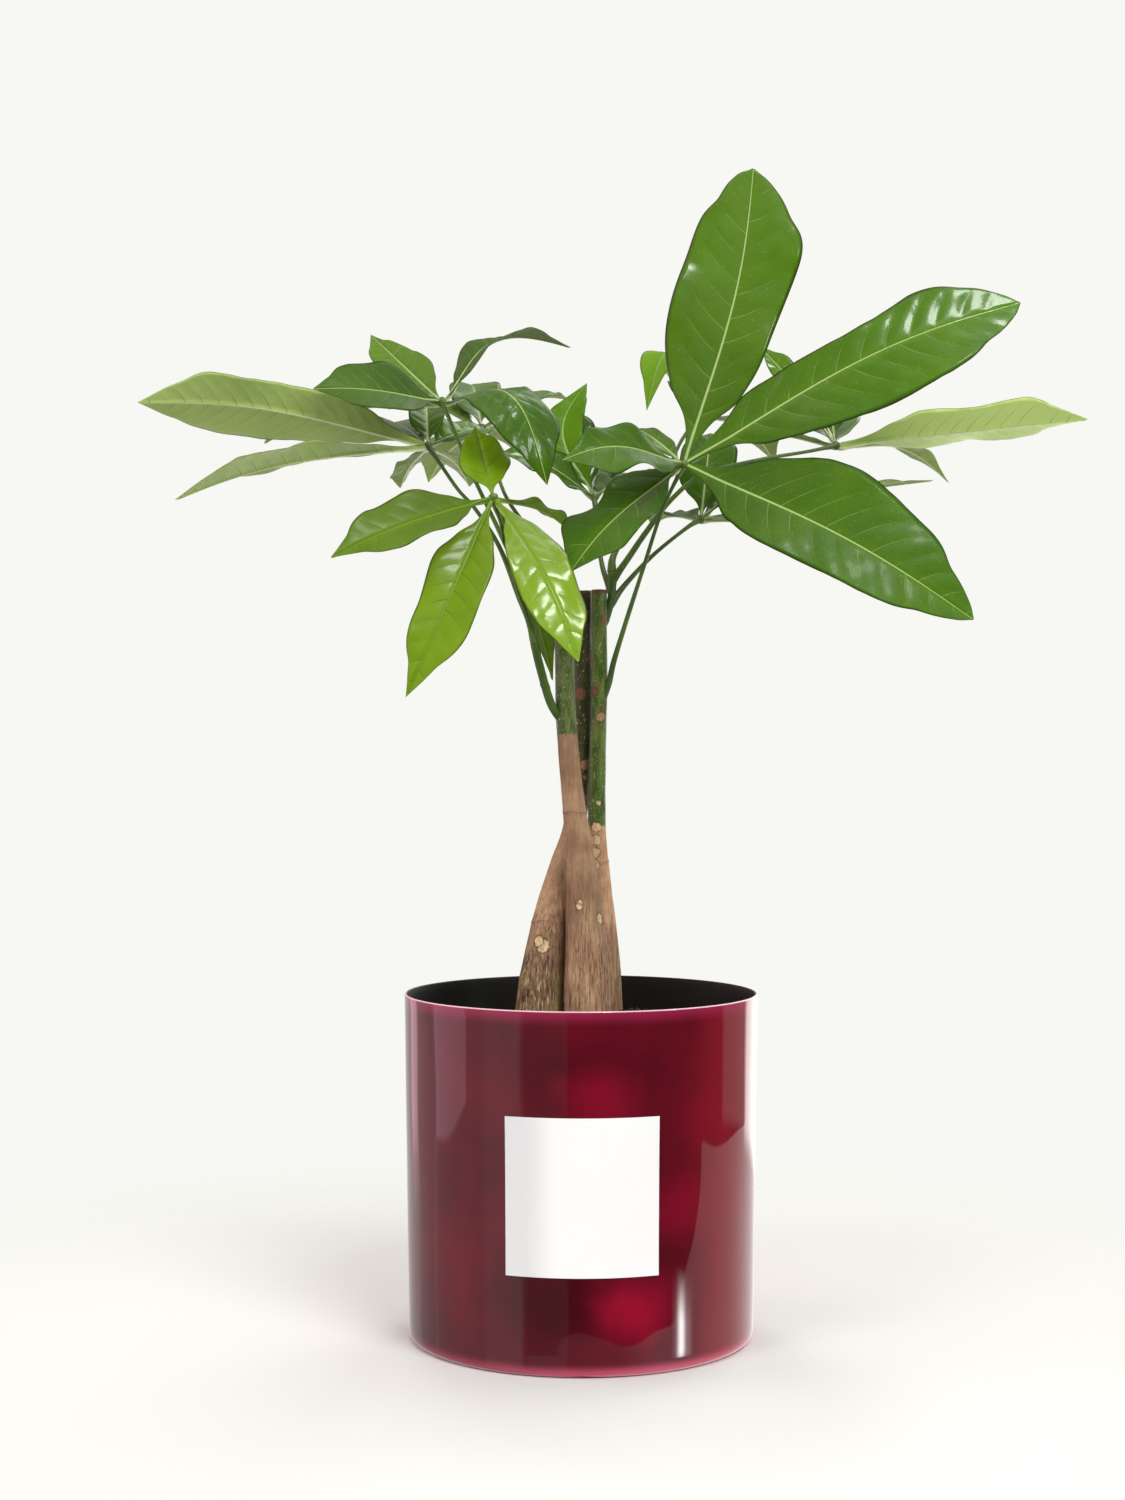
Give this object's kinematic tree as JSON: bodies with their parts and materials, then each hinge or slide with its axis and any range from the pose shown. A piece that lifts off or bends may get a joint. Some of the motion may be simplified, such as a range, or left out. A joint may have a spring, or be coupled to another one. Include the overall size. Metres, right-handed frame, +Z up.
{
  "type": "potted money tree",
  "caption": "Houseplant with twined cut-back trunks and palmate leaves in a glossy round pot with a blank label.",
  "frame": {"origin": "centre of the pot's flat base, where it rests on the surface", "axes": "+Z up the pot's axis, -Y out of the label's side, +X to the right for someone who faces the label"},
  "size_m": [0.5243, 0.3195, 0.6338],
  "materials": {
    "burgundy_lacquer": "gloss",
    "white_card": "matte",
    "potting_soil": "matte",
    "bark": "matte",
    "mature_leaf": "satin",
    "young_leaf": "satin"
  },
  "bodies": {
    "root": {"pot": "burgundy_lacquer", "label": "white_card", "soil": "potting_soil", "trunk_front": "bark", "trunk_left": "bark", "trunk_right": "bark", "leaf_left_far": "mature_leaf", "leaf_left_front": "young_leaf", "leaf_left_upper": "mature_leaf", "leaf_left_rear": "mature_leaf", "leaf_right_front": "mature_leaf", "leaf_middle_rear": "mature_leaf", "leaf_right_rear": "mature_leaf", "leaf_right_far": "mature_leaf", "leaf_right_upper": "mature_leaf"}
  },
  "joints": []
}
